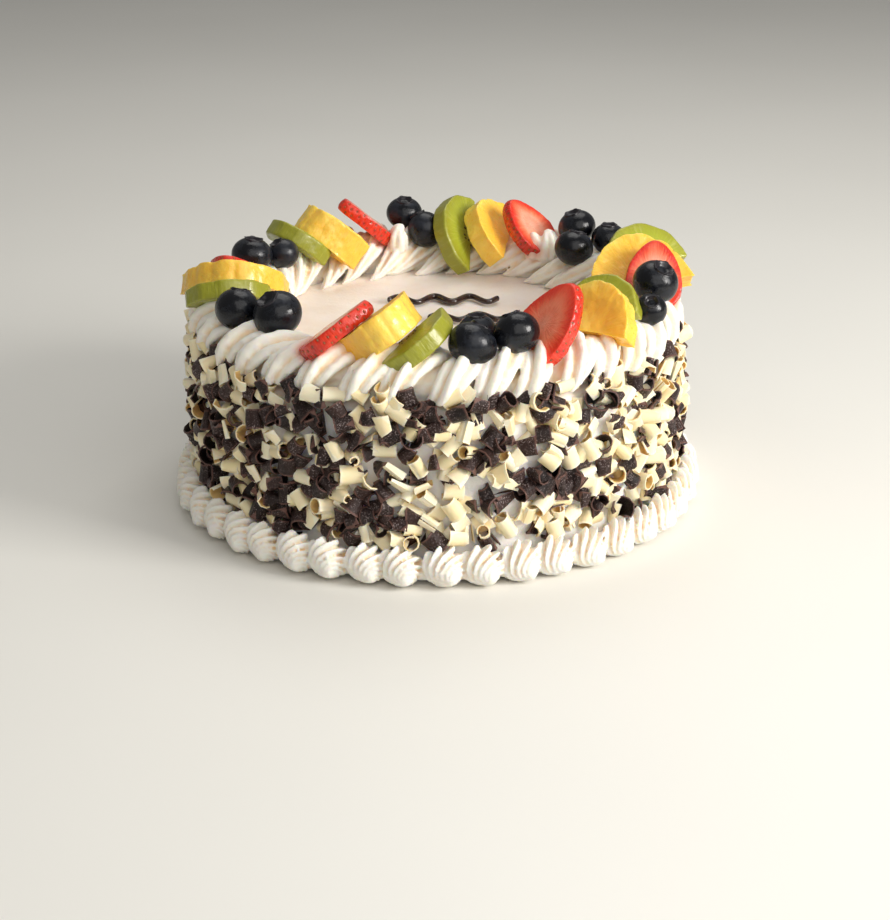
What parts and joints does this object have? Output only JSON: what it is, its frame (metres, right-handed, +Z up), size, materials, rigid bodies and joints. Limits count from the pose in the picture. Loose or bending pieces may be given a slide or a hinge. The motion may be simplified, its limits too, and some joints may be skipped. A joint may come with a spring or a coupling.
{
  "type": "fresh cream fruit cake",
  "caption": "Round whipped-cream cake with a side of chocolate curls, piped borders and groups of sliced fruit and berries on its rim.",
  "frame": {"origin": "middle of the cake's flat base", "axes": "+Z up; the front of the cake faces -Y; +X to its right seen from the front"},
  "size_m": [0.2308, 0.2308, 0.113],
  "materials": {
    "whipped_cream": "soft satin cream",
    "chocolate_curls": "matte dark and ivory chocolate",
    "dark_chocolate": "glossy",
    "red_fruit": "moist glossy flesh",
    "yellow_fruit": "moist glossy flesh",
    "green_fruit": "moist glossy flesh",
    "berry_skin": "satin with a dusty bloom"
  },
  "bodies": {
    "root": {"strawberry_1": "red_fruit", "strawberry_2": "red_fruit", "strawberry_3": "red_fruit", "strawberry_4": "red_fruit", "strawberry_5": "red_fruit", "strawberry_6": "red_fruit", "pineapple_1": "yellow_fruit", "pineapple_2": "yellow_fruit", "pineapple_3": "yellow_fruit", "pineapple_4": "yellow_fruit", "pineapple_5": "yellow_fruit", "pineapple_6": "yellow_fruit", "kiwi_1": "green_fruit", "kiwi_2": "green_fruit", "kiwi_3": "green_fruit", "kiwi_4": "green_fruit", "kiwi_5": "green_fruit", "kiwi_6": "green_fruit", "berry_1": "berry_skin", "berry_2": "berry_skin", "berry_3": "berry_skin", "berry_4": "berry_skin", "berry_5": "berry_skin", "berry_6": "berry_skin", "berry_7": "berry_skin", "berry_8": "berry_skin", "berry_9": "berry_skin", "berry_10": "berry_skin", "berry_11": "berry_skin", "berry_12": "berry_skin", "berry_13": "berry_skin", "berry_14": "berry_skin", "cake_body": "whipped_cream", "curl_coat": "chocolate_curls", "base_border": "whipped_cream", "rim_rope": "whipped_cream", "chocolate_scroll_rear": "dark_chocolate", "chocolate_scroll_front": "dark_chocolate"}
  },
  "joints": []
}
